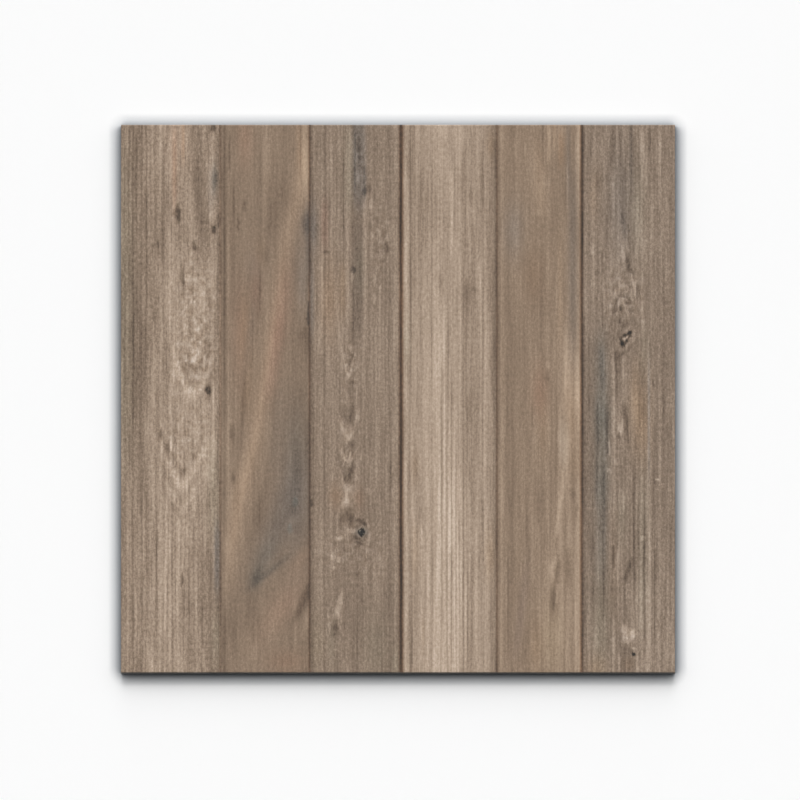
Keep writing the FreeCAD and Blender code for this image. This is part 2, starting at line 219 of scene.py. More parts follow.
BOARD_3 = Board(
    width=98.6, tone=.495, warmth=-.06, lines=.65, fibres=.7, grit=.85, rings=.15, ring_spacing=4.4,
    bands=[
        (0, -.08), (3, -.05), (4.5, -.03), (6.8, .02), (9, 0), (12.5, .05), (15.5, -.03), (19, 0), (24.5, .02),
        (27, -.01), (31, .01), (34, .01), (37, -.02), (40, .01), (43, .02), (46.5, -.03), (52, -.02),
        (57, -.02), (60, .02), (64, 0), (76, .01), (81, 0), (87.5, -.03), (91.5, .03), (95, .02), (97, -.01),
        (98.6, -.03),
    ],
    stains=each(
        Stain,
        (43, 60, 1.4, 60, .05), (72, 260, 22, 80, .03), (49, 40, 1, 40, -.08, -.3), (3, 112, 5, 26, -.02, -.7),
        (2, 190, 3, 40, 0, -.5), (16, 108, 4, 26, 0, .1, .35), (21, 190, 10, 45, .01, .35, .05),
        (36, 180, 4, 30, 0, .3), (60, 150, 1, 80, .07), (41, 140, 1.4, 60, .05), (36.5, 75, .8, 70, -.12),
        (48, 222, 4, 18, -.05, 0, 0, -.06), (43, 288, 3.5, 9, -.08, 0, 0, -.05), (41, 427, 8, 10, -.065, .1),
        (28, 405, 7, 14, 0, .35, .1), (53, 408, 6, 12, -.01, .25, .15), (27, 472, 6, 6, .06),
        (56, 444, 4, 4.5, -.04, -.75, -.2), (75, 480, 8, 16, .03), (28, 549, 6, 8, -.09),
        (16, 380, .8, 180, -.04), (36, 500, 18, 90, -.03), (86, 540, 9, 45, -.035), (88, 380, 2, 15, -.09),
        (63, 300, 2, 50, -.05, 0, 0, .03), (51, 285, 1.2, 30, .08, 0, 0, -.02), (6, 565, 9, 30, 0, .12, -.15),
        (4, 410, 5, 140, -.03), (11, 35, 4, 35, -.035), (20, 450, 4, 45, .03), (19, 245, 5, 30, .025),
        (30, 205, 7, 50, .028), (45, 5, 4, 12, -.035), (51, 408, 4, 10, -.04), (50, 448, 5, 9, -.045),
        (60, 10, 4, 22, -.03), (60, 430, 5, 16, -.025), (60, 560, 5, 50, -.028), (70, 28, 8, 38, -.04),
        (68, 425, 6, 14, -.03), (77, 122, 5, 30, -.04), (76, 285, 4, 50, -.02), (76, 560, 5, 50, -.03),
        (84, 330, 4, 75, .03), (92, 70, 4, 50, -.02), (92, 347, 4, 14, -.035), (92, 545, 4, 50, -.035),
        (6, 210, 5, 40, .02), (6, 315, 5, 20, -.025), (42, 225, 6, 18, .02), (66, 195, 6, 20, -.03),
        (18, 495, 6, 18, .025), (42, 45, 6, 50, 0, 0, -.18), (54, 157, 6, 26, 0, 0, -.16),
        (72, 570, 14, 35, 0, 0, -.16), (93, 590, 6, 20, 0, 0, -.18), (42, 446, 7, 5, .05),
        (29, 551, 7, 9, -.025), (4, 552, 6, 16, -.025), (76, 35, 8, 18, -.02), (54, 40, 5, 16, -.02),
        (66, 258, 5, 30, .02), (78, 390, 6, 25, -.018), (6, 262, 6, 25, .018), (24, 565, 5, 25, 0, 0, -.14),
        (66, 170, 5, 40, -.016), (56, 388, 4, 24, -.025), (66, 525, 5, 14, -.018), (78, 585, 5, 14, -.018),
        (42, 585, 5, 12, -.018), (30, 540, 6, 28, -.015), (90, 105, 4, 14, -.018),
    ) + each(
        fleck,
        (53.5, 38, 7.5, 56, -.035, -.6), (59.5, 62, 1.6, 18, -.1, -.3), (53, 30, 2.5, 10, -.06),
        (59, 73, 3, 4, -.11, -.3), (64, 70, 3.3, 5, -.1), (18, 139, 3.5, 1.6, -.08),
        (52, 165, 6.5, 70, -.05, -.1), (47, 158, 2.8, 4, -.14, -.2), (46, 165, 1.6, 6, .13),
        (66, 88, 3, 8, .08), (69, 120, 1.8, 5, .08), (83, 122, 1.6, 4, .08), (70, 168, 2, 6, .08),
        (76, 178, 1.6, 5, .07), (70, 190, 1.6, 5, .07), (75, 118, 2.2, 5, .07), (66, 110, 2, 6, -.08),
        (83, 135, 2.5, 7, -.09), (45, 243, 2.5, 4, .1), (41, 316, 7.5, 11, -.05), (41, 337, 8, 8, .035),
        (45, 340, 3, 6, .07, 0, 0, -.5), (37, 366, 1.4, 6, .13, 0, 0, -.2), (43, 362, 1.4, 6, .13, 0, 0, -.3),
        (42.5, 376, 7, 10, -.07, 0, 0, -.1), (42.5, 350, 5, 6, -.06, 0, 0, -.3),
        (42.5, 404, 8.5, 11, .07, 0, 0, -.05), (54, 431.5, 4.6, 3.2, -.16, 0, 0, .15),
        (46, 442.5, 6, 3, .12, 0, 0, -.4), (33, 450.5, 5, 2.2, .12, 0, 0, .8),
        (52.5, 452, 3.5, 3.5, -.12, 0, 0, .4), (24, 470, 1.6, 3, .1), (32, 474, 1.8, 3, .1),
        (27, 483, 2.2, 2.2, .14), (54.5, 442.5, 1, 1.2, .36), (58, 446, .9, 1.1, .32),
        (31, 526, 3.3, 14, .12, 0, 0, -.15), (35, 515, 1.2, 10, .07), (21, 543, 1.3, 12, .08, 0, 0, .1),
        (33, 548, 1.3, 10, .08, 0, 0, .25), (28, 572, 3, 2, .07), (2, 412, 2, 4, -.13), (63, 438, 2, 3.3, .08),
        (65, 447, 2.2, 4, .06), (54, 456, 4, 2.2, -.12), (52, 318, 2, 9, .08, 0, 0, -.15),
        (35, 327, 1.6, 6, .08, 0, 0, .15), (34.5, 356, 1.2, 5, .07), (56, 362, 1.2, 5, .08),
        (50, 381, 1.8, 10, .08, 0, 0, -.1), (35.5, 384, 1.6, 12, .08, 0, 0, .1), (64, 399, 4.5, 2.2, .06),
        (60, 435.5, 2.2, 3, -.1), (56.3, 444, 2.8, 3, -.14, -.3), (46.5, 402, 2.6, 10, .04, 0, 0, .15),
    ),
    flames=each(
        Flame,
        (42, 274, 8, 30, 4, 1.4, .1), (43, 262, 6, 22, 3, 1.4, -.05), (42, 300, 8, 30, 3, 1.5, .05),
        (41, 342, 10, 20, 5.5, 1.3, .08), (41, 322, 7, 14, 4, 1.3, -.045), (42, 369, 9, 16, 3.5, 1.3, .1),
        (40, 389, 9, 26, 4.5, 1.2, -.1), (40, 401, 10, 26, 4, 1.2, .035), (40, 409, 10, -14, 4, 1.2, .06),
        (40, 424, 9, -10, 4, 1.3, -.06), (29, 530, 8, -24, 3.5, 1.5, .07),
    ),
    knots=each(Knot, (56, 444, 2.9, 3.2, 0, -.34, -.34, .05, .55)),
    mottles=each(
        Patch,
        (76, 125, 10, 40, .7), (50, 465, 40, 30, .6), (40, 370, 12, 60, .6), (53, 45, 8, 50, .6),
        (44, 262, 8, 28, .9),
    ),
    combs=each(Patch, (20, 100, 16, 120, .3), (75, 300, 20, 120, .25)),
)

BOARD_4 = Board(
    width=103.3, tone=.595, warmth=0, lines=1.3, fibres=.7, grit=.75, rings=.1, ring_spacing=4.6,
    bands=[
        (0, -.08), (3, -.03), (5.7, .05), (8, 0), (10.2, -.07), (13, -.04), (19, -.03), (21, -.05), (24, -.01),
        (27, 0), (30, .01), (32.9, -.02), (35.5, .02), (39, .01), (41.5, .02), (46, .01), (50, -.01), (54, 0),
        (60, 0), (64, .01), (67, -.04), (71, -.06), (76, -.05), (80, -.03), (83, -.01), (86, -.01), (88, -.04),
        (90.5, 0), (94, -.04), (99, -.08), (103.3, -.13),
    ],
    stains=each(
        Stain,
        (5, 130, 2.5, 150, .02), (10.2, 130, 1, 130, -.08), (11.5, 375, 1.6, 60, .09), (36, 75, 10, 50, -.04),
        (54.5, 100, 1.6, 45, .06), (64, 220, 1.4, 70, .06), (43, 50, 2, 22, .07), (71.5, 182, 4.6, 15, -.1),
        (70.5, 225, 1.4, 60, -.05), (50.5, 200, 1, 90, -.08), (97, 22, 5, 15, -.05, .25),
        (87, 60, 1.5, 30, -.09), (22, 90, 9, 50, -.03), (75, 300, 6, 95, -.04), (67, 270, 1, 90, -.08),
        (33, 210, .9, 80, -.09), (15, 372, 4, 18, -.05, .18), (19, 415, 4, 30, -.03),
        (15, 465, 4, 30, -.03, .15), (12, 565, 1.2, 30, -.1), (24, 555, 1.5, 20, -.07, .1),
        (78, 425, 2, 30, -.03), (54, 520, 20, 170, .095), (44, 430, 1, 140, -.12), (49.6, 440, 1, 170, -.11),
        (54.4, 470, 1, 160, -.13), (62, 380, 1, 70, -.05), (67.2, 480, 1, 120, -.13), (72, 530, 1, 70, -.1),
        (47, 430, 1, 130, .07), (52.3, 420, 1.1, 130, .07), (57.3, 450, 1.2, 130, .07),
        (80.3, 520, 1.4, 80, .06), (26.4, 520, 1.2, 60, -.07), (22, 520, 1.2, 60, .05),
        (90, 380, 1.2, 100, .03), (86.7, 500, .9, 90, -.04), (85.7, 215, 1.2, 60, .05),
        (100, 250, 1.6, 90, -.05), (96, 470, 5, 25, -.03, .25), (85, 170, 2, 25, .08), (4.5, 20, 3.5, 35, -.05),
        (5, 380, 4, 150, -.055), (12, 120, 4, 90, -.05), (12, 465, 3.5, 40, .045), (20, 245, 4, 35, .04),
        (20, 400, 4, 25, .025), (20, 560, 4, 40, .03), (28, 295, 4, 80, .045), (36, 310, 4, 90, .022),
        (44, 115, 4, 25, -.03), (44, 240, 4, 30, .035), (48, 5, 12, 15, .04), (44, 580, 6, 30, -.035),
        (52, 225, 4, 50, .03), (52, 370, 4, 70, .02), (52, 515, 4, 20, -.025), (60, 260, 4.5, 230, -.045),
        (68, 10, 6, 20, .045), (67, 195, 4, 80, -.02), (68, 385, 4, 14, -.035), (68, 452, 4, 15, .03),
        (76, 68, 5, 60, .035), (76, 235, 4, 50, .025), (76, 440, 4, 20, .03), (84, 25, 4, 22, -.035),
        (92, 90, 4.5, 130, -.045), (99, 205, 4, 110, -.035), (99, 380, 4, 40, -.03), (6, 30, 5, 30, -.025),
        (6, 255, 5, 18, -.04), (6, 435, 5, 30, .035), (30, 510, 6, 60, .03), (54, 420, 6, 35, .03),
        (66, 60, 6, 30, -.035), (66, 190, 6, 90, -.02), (100, 45, 4, 20, -.045), (100, 255, 4, 20, -.035),
        (100, 420, 4, 60, -.03), (100, 585, 4, 20, -.03), (61.2, 450, 1.1, 110, .06), (59.2, 490, 1, 130, -.12),
        (63.2, 500, 1, 110, -.11), (38, 260, 1.1, 90, .03), (46.5, 255, 1.1, 60, .06),
        (75.5, 250, 1.2, 90, -.03), (36.4, 430, 1, 130, -.06), (41, 470, 1, 110, .035),
        (69.5, 540, 1.2, 60, .06), (76, 550, 1.2, 50, -.07), (39, 180, 6, 75, -.022), (17, 318, 5, 26, -.025),
        (100, 230, 4, 150, -.02), (89, 362, 5, 40, .024), (6, 464, 5, 18, .025), (56, 455, 7, 18, .022),
        (62, 585, 6, 14, .022), (6, 585, 5, 14, .02), (75, 285, 5, 18, .025), (86, 75, 6, 45, -.018),
        (65, 365, 5, 16, -.02), (5, 238, 5, 25, -.015, 0, -.15), (65, 510, 6.5, 100, .03),
        (53, 410, 5, 50, .022), (54, 550, 5, 18, .026), (99, 20, 5, 30, -.018), (78, 435, 5, 14, -.02),
        (30, 315, 5, 14, .018),
    ) + each(
        fleck,
        (80, 180, 4, 3.3, -.07), (75, 78, 1.8, 10, -.09), (42, 172, 2, 9, -.06), (22, 445, 1.2, 14, .1),
        (9.4, 570, 1.2, 45, -.05),
    ),
    combs=each(Patch, (56, 500, 20, 160, .3)),
)

BOARD_5 = Board(
    width=91.7, tone=.5, warmth=.16, lines=.5, fibres=.55, grit=.6, rings=.05, ring_spacing=5,
    bands=[
        (0, -.08), (2.5, -.02), (5, .03), (8, 0), (12, -.02), (17, -.03), (21, 0), (28, -.01), (40, 0),
        (48, -.01), (55, .01), (58.5, -.02), (62, -.01), (68, .01), (74, 0), (78, .01), (81.5, -.03), (85, .01),
        (88.7, .05), (91.7, -.03),
    ],
    stains=each(
        Stain,
        (56, 18, 2.5, 24, .07, .1), (62, 8, 2, 20, .05, .15), (49.5, 15, .9, 28, -.08), (56, 46, 4, 9, -.05),
        (46, 60, 6, 40, .03, .12, 0, .05), (18, 115, 11, 30, .01, -.45), (14, 20, 8, 20, .02),
        (77, 30, 2.5, 50, -.05, -.3), (76, 70, 1, 30, .08), (82, 150, 5, 100, -.02, -.45),
        (69, 25, 3, 20, -.03, .3, .1), (88, 25, 1.6, 60, .05), (74, 75, 12, 50, -.03), (68, 430, 18, 160, .02),
        (40, 165, 12, 30, -.02, .15, .05), (68, 180, 3, 60, .01, .12), (45, 128, 4, 5, .04),
        (46, 292, 9, 28, -.01, .18, .28), (74, 255, 2, 30, .08), (87, 280, 2.5, 30, .06), (74, 295, 2, 20, .07),
        (80, 320, 9, 50, .03, .18, .02), (73, 365, 3.5, 30, .05), (71, 390, 1.2, 15, .08),
        (38, 312, 1, 22, -.08), (64, 330, 2, 60, -.04), (17, 345, 2, 50, -.03), (17, 440, 2, 60, -.03),
        (32, 420, 1.2, 50, -.05), (46, 420, 3, 20, -.04), (66, 425, 2, 25, .08, 0, 0, -.1),
        (60, 483, 3.2, 16, .1, 0, 0, -.12), (76, 480, 2, 18, -.07), (61, 518, 3.3, 15, -.1, 0, 0, -.08),
        (26, 530, 5, 50, -.035, -.2, .1, -.12), (30, 570, 3, 30, -.04, 0, 0, -.2),
        (60, 560, 12, 40, .02, .15, -.12), (84.7, 530, 1.4, 80, .05), (5, 450, 2, 150, .02),
        (12, 520, 1, 60, -.07), (4, 100, 4, 25, -.03), (12, 55, 4, 18, .025), (16, 255, 8, 80, -.025),
        (20, 5, 5, 12, -.03), (36, 160, 5, 60, -.02), (44, 205, 5, 40, -.025), (44, 68, 4, 14, .03),
        (55, 88, 7, 25, .022), (52, 530, 6, 60, .025), (68, 92, 4, 20, -.025), (72, 12, 8, 18, .03),
        (83, 278, 6, 40, .04), (89, 300, 3.4, 60, .04), (88, 510, 4, 100, .025), (72, 560, 16, 45, .025),
        (81, 450, 5, 18, .04), (78, 270, 6, 30, .03), (88, 120, 5, 60, -.02), (84, 372, 5, 16, -.02, .1),
        (50, 335, 6, 30, 0, .15), (42, 570, 8, 32, 0, .2), (88, 255, 5, 25, -.02), (74, 457, 9, 15, .02),
        (88, 415, 4, 30, .02), (88, 22, 4, 22, .02), (68, 88, 7, 25, -.018), (46, 160, 7, 25, -.018),
        (40, 462, 5, 12, -.018), (18, 550, 5, 35, .018), (88, 588, 4, 12, .025),
    ) + each(
        fleck,
        (45, 95, 6, 3, .04), (55, 262, 3, 5, .05), (54, 275, 2.5, 8, -.08), (72.5, 345, 6, 30, .04, -.15, -.05),
        (66, 486, 2.4, 12, -.08, 0, 0, -.1), (65, 512, 1.6, 12, .07, 0, 0, -.05), (82, 402, 3, 6, -.06),
        (86, 420, 2, 8, -.07),
    ),
    combs=each(Patch, (60, 540, 25, 60, .2)),
)

BOARD_6 = Board(
    width=100.2, tone=.495, warmth=-.12, lines=.75, fibres=.9, grit=.9, rings=.15, ring_spacing=5,
    bands=[
        (0, -.1), (3, -.04), (5.8, .01), (9, -.03), (13.5, -.01), (17.5, -.02), (21, 0), (24, .01),
        (28.5, -.02), (33, .01), (37.5, -.02), (41, -.01), (46, -.02), (49.5, -.02), (55.5, -.01), (59, 0),
        (62, -.01), (64.5, 0), (67.5, -.01), (71, .02), (74.5, .02), (78.3, -.03), (83.5, .03), (88, -.02),
        (92, 0), (95.5, -.03), (98, 0), (100.2, -.03),
    ],
    stains=each(
        Stain,
        (42, 85, 14, 60, -.015, -.35), (33, 25, 2.5, 35, -.09), (34, 70, 2.5, 25, .08),
        (18, 60, 6, 10, -.04, .1), (12, 80, 5, 25, .02, .2), (44, 80, 1.2, 35, -.08),
        (53, 30, 2, 40, -.05, -.2), (65, 35, 2, 35, .07), (73, 15, 1.2, 15, -.09), (85, 40, 1.6, 50, .07),
        (45, 108, 2.6, 16, -.09, -.2, 0, .1), (38, 230, 16, 60, -.04), (9, 350, 5, 110, -.035),
        (75, 560, 22, 60, .035), (30, 535, 6, 35, -.035), (22, 205, 1, 20, -.08),
        (36, 183, 4, 3.5, .08, 0, 0, .5), (21, 280, 8, 55, -.03, -.42, -.16),
        (21, 355, 8, 55, -.03, -.38, -.18), (16.5, 325, 2.2, 30, -.1, -.2), (26.5, 335, 2.6, 26, -.11, -.2),
        (22, 265, 3, 25, -.07, -.3, 0, .05), (16, 385, 1.6, 30, -.08, -.2), (24, 420, 1.6, 60, -.07, -.2),
        (20, 440, 7, 60, -.02, -.35, -.12), (33.5, 262, 1.6, 22, .1), (35, 320, 1.8, 45, .09),
        (37.5, 270, 1.4, 26, -.08), (49, 332, 1.4, 24, -.12, 0, 0, .06), (62, 305, 1, 20, -.08),
        (62, 315, 10, 46, 0, .5), (56, 285, 4, 30, .01, .15), (72, 320, 1.4, 60, .05, -.6),
        (55.5, 410, 1.1, 48, -.09), (55.5, 500, .9, 60, -.07), (38, 480, 1.4, 18, .1),
        (67.3, 500, 1.2, 90, -.08), (71, 470, 1.8, 120, .06), (63, 490, 1.6, 60, .04),
        (78.2, 500, .9, 90, -.09), (23, 508, 4, 22, -.07), (17, 470, 1.2, 30, .08), (16, 550, 2.5, 24, .07),
        (34, 560, 2, 22, .07, 0, 0, .05), (50, 556, 7, 8, .05), (47, 573, 8, 6, -.06),
        (50, 588, 7, 8, -.03, .25), (15, 592, 12, 14, 0, .35), (33, 480, 6, 60, 0, .1), (4, 505, 4, 12, -.035),
        (8, 570, 8, 30, .025), (20, 435, 5, 35, -.025), (20, 548, 5, 12, .03), (28, 12, 4, 22, .04),
        (28, 185, 5, 70, .03), (36, 130, 5, 35, .02), (44, 120, 5, 28, .035), (43, 395, 4, 90, .03),
        (48, 12, 6, 22, .025), (52, 280, 4, 30, .035), (52, 405, 4, 22, -.025), (60, 190, 4, 16, .03),
        (60, 285, 4, 25, -.03), (60, 520, 4, 75, .028), (68, 305, 5, 105, -.028), (68, 142, 4, 25, .025),
        (76, 80, 4, 35, -.02), (84, 85, 4, 12, .025), (84, 262, 5, 22, -.035), (84, 378, 5, 18, -.035),
        (92, 535, 5, 60, .03), (92, 193, 4, 14, -.035), (92, 252, 4, 18, -.035), (34, 530, 6, 30, -.02),
        (98, 105, 4, 20, .035), (98, 165, 4, 20, -.03), (6, 310, 5, 50, -.025), (6, 525, 5, 20, -.025),
        (18, 525, 5, 18, -.03), (42, 315, 6, 20, .02), (42, 525, 6, 20, .025), (94, 587, 9, 18, .035),
        (20, 545, 9, 50, 0, 0, -.22), (60, 90, 9, 50, 0, 0, -.16), (66, 460, 6, 90, 0, 0, -.15),
        (43, 430, 6, 30, 0, 0, -.14), (68, 340, 6, 30, 0, .15), (98, 315, 4, 28, .025), (5, 398, 5, 18, -.022),
        (91, 374, 5, 14, -.022), (54, 584, 6, 10, -.02), (50, 521, 9, 15, .02), (6, 222, 5, 15, .022),
        (34, 553, 8, 14, -.018), (84, 283, 8, 12, -.018), (26, 205, 6, 40, .015), (20, 5, 5, 12, -.018),
        (97, 10, 4, 14, .025), (66, 245, 6, 25, 0, 0, -.14), (30, 15, 5, 14, .022), (18, 195, 5, 14, -.022),
        (42, 375, 5, 14, .02), (18, 375, 5, 14, .018), (4, 558, 4, 14, .018),
    ) + each(
        fleck,
        (50, 120, 1.4, 14, -.08, 0, 0, .05), (45, 145, 2.6, 12, .09, 0, 0, .15),
        (49, 149, 2.4, 10, -.12, 0, 0, .1), (54, 161, 2.2, 6, -.1, 0, 0, .3), (56, 176, 2, 12, .1, 0, 0, .2),
        (60, 183, 1.8, 10, -.13), (11, 135, 2.5, 8, .07), (16, 162, 3, 3, -.08), (22, 150, 1.5, 14, -.07),
        (46, 190, 4, 2.5, .09, 0, 0, .6), (50, 188, 2, 6, -.12, 0, 0, .3), (42, 200, 2.1, 2.6, -.14),
        (37, 207, 4, 3, .07), (50, 205, 2, 8, .07), (56, 232, 1.8, 8, .12, 0, 0, -.2),
        (50.5, 226, 2.6, 2.6, -.24), (46.5, 229, 1.6, 2.6, -.16), (52, 231, 1.3, 2.4, -.14),
        (42, 233, 1.4, 3, -.12), (43.5, 238.5, 2.6, 2.6, -.26), (48.5, 237, 1.5, 2.4, -.18),
        (46, 234.5, 1.4, 1.8, .14), (48.5, 231, 1.2, 1.6, .14), (44, 248, 2, 5, -.08, 0, 0, -.3),
        (35, 242, 3, 8, .08, 0, 0, -.3), (41, 332, 2.6, 8, .1), (40, 339, 1.6, 5, -.16),
        (44.5, 311, 2.4, 10, -.12, 0, 0, .05), (44, 270, 1.4, 14, .07), (76.5, 281, 1, 4, -.1),
        (29.5, 352, 1.2, 9, .13), (29, 377, 3, 3, .14), (27, 365, 2, 2.6, .12), (27, 366, 2.2, 3, -.1),
        (37, 368, 2.4, 3, .08), (43, 410, 3, 14, .07), (34, 470, 1.2, 14, -.13, .1),
        (81, 387, 3, 1.2, .2, 0, 0, 1), (88, 391, 3, 1, .09, 0, 0, 1.2), (78, 388, 3, 3, -.05),
        (66, 450, 3, 1.8, .12), (50, 485, 3, 14, -.12, 0, 0, -.3), (45.5, 549, 3.3, 4.5, .14, 0, 0, .2),
        (50, 553, 3.3, 5, .08), (55, 554, 3.3, 5.5, .14), (47, 557, 3.3, 4, .1), (49, 563, 3.3, 3.6, .11),
        (56, 571, 2.4, 1.8, .14), (55.5, 577.5, 1.9, 2.1, -.39, -.3), (40, 585, 1.2, 13, .1),
        (60, 587, 1.3, 12, .1), (82, 545, 1.2, 6, -.1), (72.5, 490, 1.6, 100, .04),
    ),
    flames=each(
        Flame,
        (43, 176, 15, -30, 4, 2, .08), (43, 186, 10, -22, 3, 2, -.1), (43, 193, 6, -14, 2.5, 2, .08),
        (44, 216, 14, 28, 4, 2, -.05),
    ),
    knots=each(Knot, (47, 233, 3.6, 7, -.42, -.13, .06, .05, .5)),
    mottles=each(Patch, (45, 190, 25, 35, .8), (50, 555, 12, 12, .7)),
    combs=each(Patch, (60, 470, 40, 120, .4), (50, 50, 45, 60, .25)),
)

BOARDS = [BOARD_1, BOARD_2, BOARD_3, BOARD_4, BOARD_5, BOARD_6]

# The left edge of each board and the right edge of the last, in millimetres from the tile's centre.
EDGES = list(accumulate((board.width for board in BOARDS), initial=-TILE_WIDTH / 2))

# A joint between boards: its width and depth as pressed, and how dark, how wide and how far aside the print
# shades it.
Joint = namedtuple("Joint", "width depth darkness shade aside")
JOINTS = each(
    Joint,
    (2.2, 0.35, 0.07, 1.1, -0.9),
    (2.8, 0.60, 0.13, 1.3, 0.0),
    (3.4, 0.80, 0.31, 2.0, 0.1),
    (2.4, 0.40, 0.09, 1.2, 0.0),
    (3.0, 0.70, 0.18, 1.8, -0.5),
)
JOINT_FLOOR = 0.6
# How much a joint's shade tints the print, against its darkness.
JOINT_WARMTH, JOINT_REDNESS = 3.5, 1.5

# The face, with its joints, relief and bevel, lies within this depth of the tile's top.
FACE_DEPTH = 1.2

# A noise of the grain or the print: how finely it changes across and down, per millimetre, the seed that sets
# it apart, its detail and its roughness.
Noise = namedtuple("Noise", "across down seed detail roughness", defaults=(0.5,))
BEND = Noise(0.02, 0.004, 3.0, 1.0)
LINES = Noise(0.13, 0.0018, 11.0, 3.0, 0.8)
FIBRES = Noise(0.15, 0.014, 17.0, 3.0, 0.78)
GRIT = Noise(0.42, 0.24, 29.0, 2.0, 0.9)
WOBBLE = Noise(0.07, 0.005, 31.0, 1.0)
MOTTLE = Noise(0.15, 0.115, 37.0, 2.5, 0.6)
RAGGED = Noise(0.16, 0.10, 41.0, 2.0, 0.7)

# How far the noises move things, in millimetres: the grain's bend, which dies away this near to a joint,
# the growth lines' wobble in radians, and the ragged edges of fine features, with the long thin ones last.
GRAIN_BEND, BEND_DIES = 2.4, 6.0
RING_WOBBLE = 9.0
RAGGED_ACROSS, RAGGED_DOWN, RAGGED_LONG = 5.0, 9.0, 1.2

# How strongly each texture of the grain changes the print's tone, and how far mottling cools it.
LINE_TONE, FIBRE_TONE, GRIT_TONE, RING_TONE, MOTTLE_TONE = 0.27, 0.40, 0.46, 0.12, 0.55
MOTTLE_COOLING = 0.9

# A stain narrower than this, in millimetres, is too fine for the mesh and is left to the board's material.
FINEST_ON_MESH = 3.4
# A stain that is this many times as long as it is wide ends suddenly, or keeps to a straight line.
ENDS_SUDDENLY, RUNS_STRAIGHT = 6, 12
# The grain runs round a knot within this many times its size.
KNOT_PULL = 4
# A knot's rim, core and rings, in shares of its size: how softly each fades, and where and how the rings turn.
RIM_FADE, CORE_FADE, RINGS_FADE = 0.38, 0.45, 1.6
RINGS_AT, RINGS_TURN, RINGS_PHASE = 2.2, 2.6, 2.2
# The higher this power, the thinner the growth lines.
RING_POWER = 1.8

# How deep the face is pressed, as shares of the relief: everywhere, and less by the lines and the fibres.
HOLLOW, HOLLOW_LINES, HOLLOW_FIBRES = 0.4, 1.2, 1.4
# How far a cell's area may lie off the square of the pitch, as a share.
AREA_SLACK = 0.01
# How far a board's faces may reach over its edge, in millimetres.
EDGE_SLACK = 0.01
# Two lengths in millimetres that differ by less are the same.
SAME = 1e-6

# What a unit of warmth and a unit of redness add to red, green and blue, as shares of them.
WARM_TINT, RED_TINT = (0.16, 0.0, -0.24), (0.16, -0.10, -0.04)
# The roughness of the glazed print, and how far the lines polish it.
GLAZE_ROUGHNESS, LINE_POLISH = 0.62, 0.2
BUMP_DISTANCE = 0.1 * MM

# The clouds and specks of the fired body: how fine they are, per metre, their detail and their strength.
CLOUD_SCALE, CLOUD_DETAIL, CLOUD_TONE = 40.0, 3.0, 0.3
SPECK_SCALE, SPECK_DETAIL, SPECK_TONE = 900.0, 2.0, 0.5
BODY_ROUGHNESS, SPECK_ROUGHNESS = 0.8, 0.1

# The map of the finish, in shares of its width: the face, the margins and the height of a side's strip.
FACE_SHARE, MARGIN, STRIP_HEIGHT = 0.86, 0.004, 0.03
# A polygon is level where its normal's height lies above this, and upright where it lies below.
LEVEL = 0.3

# The stage, in metres. The tile's warm side tints the light that it throws back, so the floor's painted shade
# leans the other way in red, green and blue.
FLOOR_REACH, CAMERA_DISTANCE = 8.0, 2.0
PAINTED_SHADE_LEAN = (0.08, 0.0, -0.10)
# Each lamp with the setting that gives its share of the light, its azimuth, its elevation and its spread.
LAMPS = [
    ("key_left", "key", -60.0, 30.5, 60.0),
    ("key_right", "key", 60.0, 30.5, 60.0),
    ("back", "back", 0.0, 23.6, 46.0),
    ("fill", "fill", 180.0, 50.0, 60.0),
]


def math_method(operation, reflected=False):
    """A method that adds the Math node which works its operation out."""
    def method(self, *others):
        values = (self, *others)
        sockets = dict(enumerate(values[::-1] if reflected else values))
        return self.tree.add("ShaderNodeMath", {"operation": operation}, sockets)
    return method


class Value:
    """A socket used as a number in an expression."""

    def __init__(self, tree, socket):
        self.tree = tree
        self.socket = socket

    __add__ = __radd__ = math_method("ADD")
    __mul__ = __rmul__ = math_method("MULTIPLY")
    __sub__ = math_method("SUBTRACT")
    __rsub__ = math_method("SUBTRACT", reflected=True)
    __truediv__ = math_method("DIVIDE")
    __pow__ = math_method("POWER")
    __abs__ = math_method("ABSOLUTE")
    __lt__ = math_method("LESS_THAN")
    __gt__ = math_method("GREATER_THAN")
    exp = math_method("EXPONENT")
    sqrt = math_method("SQRT")
    cosine = math_method("COSINE")
    least = math_method("MINIMUM")
    most = math_method("MAXIMUM")
    # This value times a factor, plus an addend.
    scaled = math_method("MULTIPLY_ADD")

    def __neg__(self):
        return self * -1.0

    def hump(self, centre, half_width):
        """A soft hump of height 1 about a centre."""
        off = (self - centre) / half_width
        return (-(off * off)).exp()


class Points(np.ndarray):
    """Numbers at every vertex of a mesh, with the methods that the shapes below ask of a Value."""

    def scaled(self, factor, addend):
        return self * factor + addend

    def exp(self):
        return np.exp(self)


